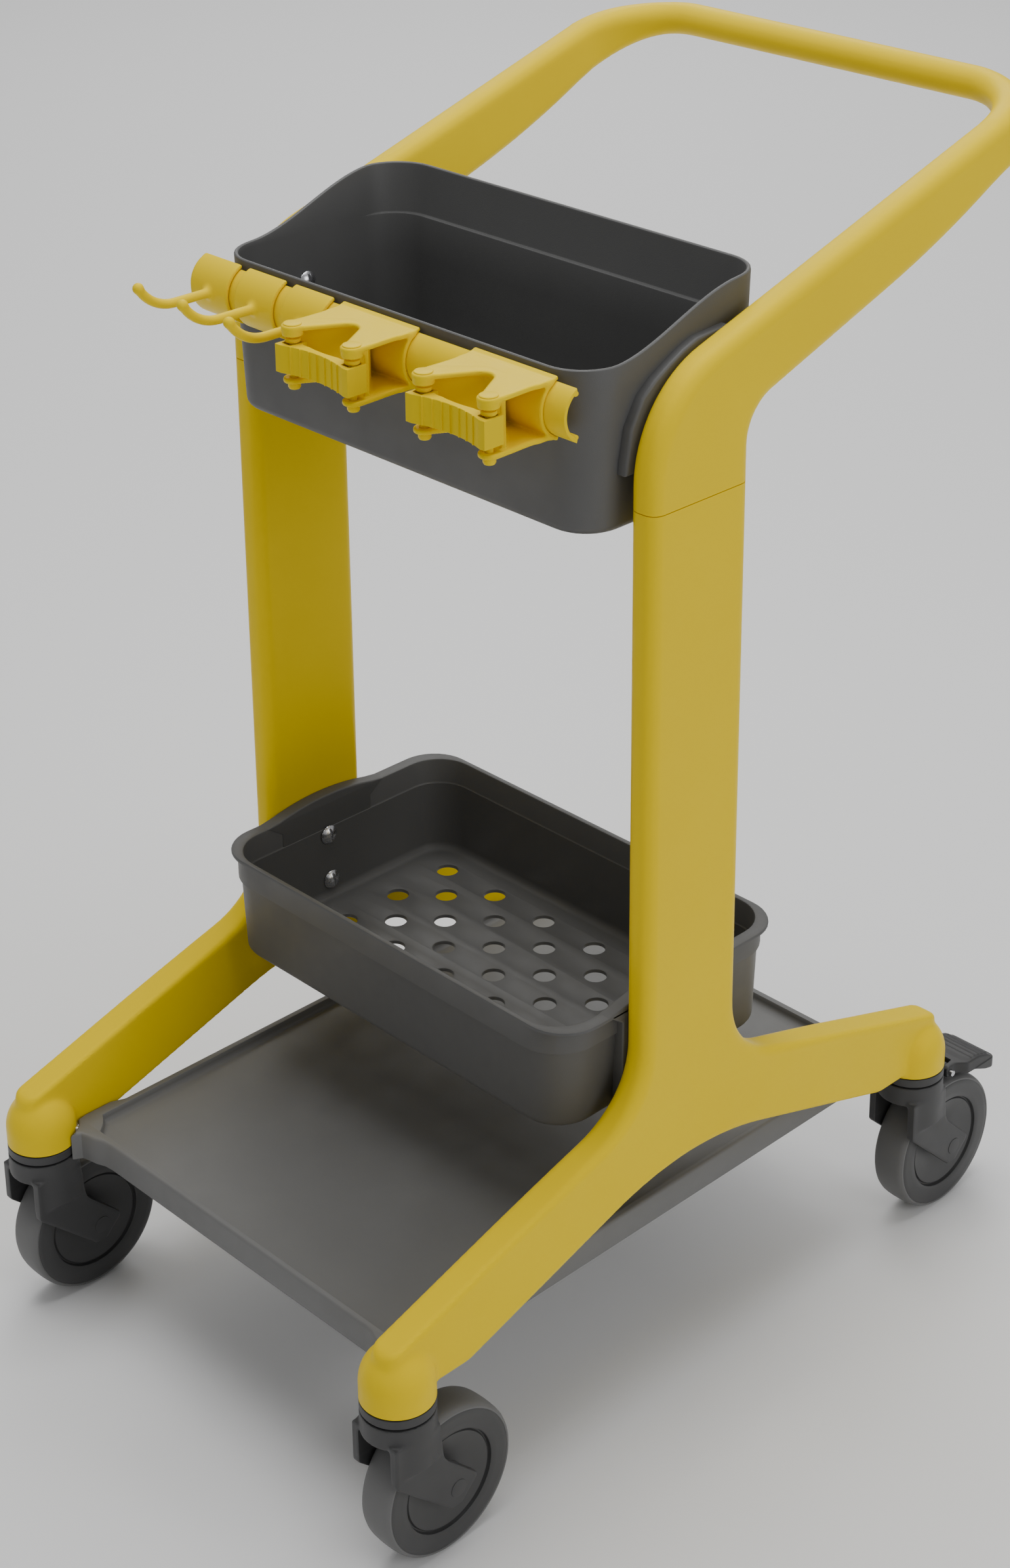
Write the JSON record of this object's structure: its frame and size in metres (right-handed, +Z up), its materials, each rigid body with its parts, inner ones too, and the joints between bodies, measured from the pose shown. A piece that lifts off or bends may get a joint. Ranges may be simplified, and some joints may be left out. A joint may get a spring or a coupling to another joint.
{
  "type": "cleaning trolley",
  "caption": "Upright cleaning trolley with a push handle, top bin, perforated tray, low deck, tool rail and swivel castors.",
  "frame": {"origin": "on the floor under the middle of the trolley's footprint", "axes": "+Z up, +Y towards the push handle (the trolley's rear), +X to the trolley's right seen from the handle's opposite side as +Y away"},
  "size_m": [0.495, 0.739, 0.9975],
  "materials": {
    "yellow_frame": "satin gloss moulded polypropylene",
    "yellow_fittings": "satin moulded nylon",
    "yellow_rubber": "soft elastic grip strip",
    "dark_plastic": "fine-grained moulded polypropylene",
    "castor_plastic": "satin glass-filled nylon",
    "black_plastic": "satin moulded",
    "grey_tyre": "non-marking thermoplastic rubber",
    "castor_steel": "zinc plated",
    "bolts": "bright zinc plated"
  },
  "bodies": {
    "chassis": {"left_side_frame": "yellow_frame", "right_side_frame": "yellow_frame", "handle_frame": "yellow_frame", "left_handle_spigot": "black_plastic", "right_handle_spigot": "black_plastic", "top_bin": "dark_plastic", "bin_bolts_left": "bolts", "bin_bolts_right": "bolts", "rear_bag_lip": "dark_plastic", "lower_tray": "dark_plastic", "tray_bolts_left": "bolts", "tray_bolts_right": "bolts", "base_deck": "dark_plastic", "deck_pins": "bolts", "tool_rail": "yellow_fittings", "rail_screws": "bolts", "stem_fl": "castor_steel", "stem_fr": "castor_steel", "stem_rl": "castor_steel", "stem_rr": "castor_steel", "collar_fl": "dark_plastic", "collar_fr": "dark_plastic", "collar_rl": "dark_plastic", "collar_rr": "dark_plastic"},
    "castor_front_left": {"fork_fl": "castor_plastic", "axle_fl": "black_plastic"},
    "wheel_front_left": {"wheel_core_fl": "black_plastic", "wheel_bearings_fl": "castor_steel", "tyre_fl": "grey_tyre"},
    "castor_front_right": {"fork_fr": "castor_plastic", "axle_fr": "black_plastic"},
    "wheel_front_right": {"wheel_core_fr": "black_plastic", "wheel_bearings_fr": "castor_steel", "tyre_fr": "grey_tyre"},
    "castor_rear_left": {"fork_rl": "castor_plastic", "axle_rl": "black_plastic", "pedal_pin_rl": "castor_steel"},
    "wheel_rear_left": {"wheel_core_rl": "black_plastic", "wheel_bearings_rl": "castor_steel", "tyre_rl": "grey_tyre"},
    "pedal_rear_left": {"brake_pedal_rl": "black_plastic"},
    "castor_rear_right": {"fork_rr": "castor_plastic", "axle_rr": "black_plastic", "pedal_pin_rr": "castor_steel"},
    "wheel_rear_right": {"wheel_core_rr": "black_plastic", "wheel_bearings_rr": "castor_steel", "tyre_rr": "grey_tyre"},
    "pedal_rear_right": {"brake_pedal_rr": "black_plastic"},
    "hook_module_1": {"hook_1": "yellow_fittings"},
    "hook_module_2": {"hook_2": "yellow_fittings"},
    "hook_module_3": {"hook_3": "yellow_fittings"},
    "clip_module_1": {"clip_body_1": "yellow_fittings", "grip_band_1": "yellow_rubber", "clip_pins_1": "yellow_fittings"},
    "clip_module_2": {"clip_body_2": "yellow_fittings", "grip_band_2": "yellow_rubber", "clip_pins_2": "yellow_fittings"}
  },
  "joints": [
    {"name": "swivel_front_left", "type": "hinge", "parent": "chassis", "child": "castor_front_left", "pos_m": [-0.219, -0.341, 0.13], "axis": [0, 0, 1], "continuous": true},
    {"name": "roll_front_left", "type": "hinge", "parent": "castor_front_left", "child": "wheel_front_left", "pos_m": [-0.219, -0.3054, 0.0625], "axis": [1, 0, 0], "continuous": true},
    {"name": "swivel_front_right", "type": "hinge", "parent": "chassis", "child": "castor_front_right", "pos_m": [0.219, -0.341, 0.13], "axis": [0, 0, 1], "continuous": true},
    {"name": "roll_front_right", "type": "hinge", "parent": "castor_front_right", "child": "wheel_front_right", "pos_m": [0.219, -0.3054, 0.0625], "axis": [1, 0, 0], "continuous": true},
    {"name": "swivel_rear_left", "type": "hinge", "parent": "chassis", "child": "castor_rear_left", "pos_m": [-0.219, 0.25, 0.13], "axis": [0, 0, 1], "continuous": true},
    {"name": "roll_rear_left", "type": "hinge", "parent": "castor_rear_left", "child": "wheel_rear_left", "pos_m": [-0.219, 0.2856, 0.0625], "axis": [1, 0, 0], "continuous": true},
    {"name": "brake_rear_left", "type": "hinge", "parent": "castor_rear_left", "child": "pedal_rear_left", "pos_m": [-0.219, 0.286, 0.1345], "axis": [-1, 0, 0], "range_deg": [0, 8]},
    {"name": "swivel_rear_right", "type": "hinge", "parent": "chassis", "child": "castor_rear_right", "pos_m": [0.219, 0.25, 0.13], "axis": [0, 0, 1], "continuous": true},
    {"name": "roll_rear_right", "type": "hinge", "parent": "castor_rear_right", "child": "wheel_rear_right", "pos_m": [0.219, 0.2856, 0.0625], "axis": [1, 0, 0], "continuous": true},
    {"name": "brake_rear_right", "type": "hinge", "parent": "castor_rear_right", "child": "pedal_rear_right", "pos_m": [0.219, 0.286, 0.1345], "axis": [-1, 0, 0], "range_deg": [0, 8]},
    {"name": "hook_slide_1", "type": "slide", "parent": "chassis", "child": "hook_module_1", "axis": [1, 0, 0], "range_m": [-0.004, 0.004]},
    {"name": "hook_slide_2", "type": "slide", "parent": "chassis", "child": "hook_module_2", "axis": [1, 0, 0], "range_m": [-0.004, 0.004]},
    {"name": "hook_slide_3", "type": "slide", "parent": "chassis", "child": "hook_module_3", "axis": [1, 0, 0], "range_m": [-0.004, 0.004]},
    {"name": "clip_slide_1", "type": "slide", "parent": "chassis", "child": "clip_module_1", "axis": [1, 0, 0], "range_m": [-0.004, 0.026]},
    {"name": "clip_slide_2", "type": "slide", "parent": "chassis", "child": "clip_module_2", "axis": [1, 0, 0], "range_m": [-0.026, 0.018]}
  ]
}
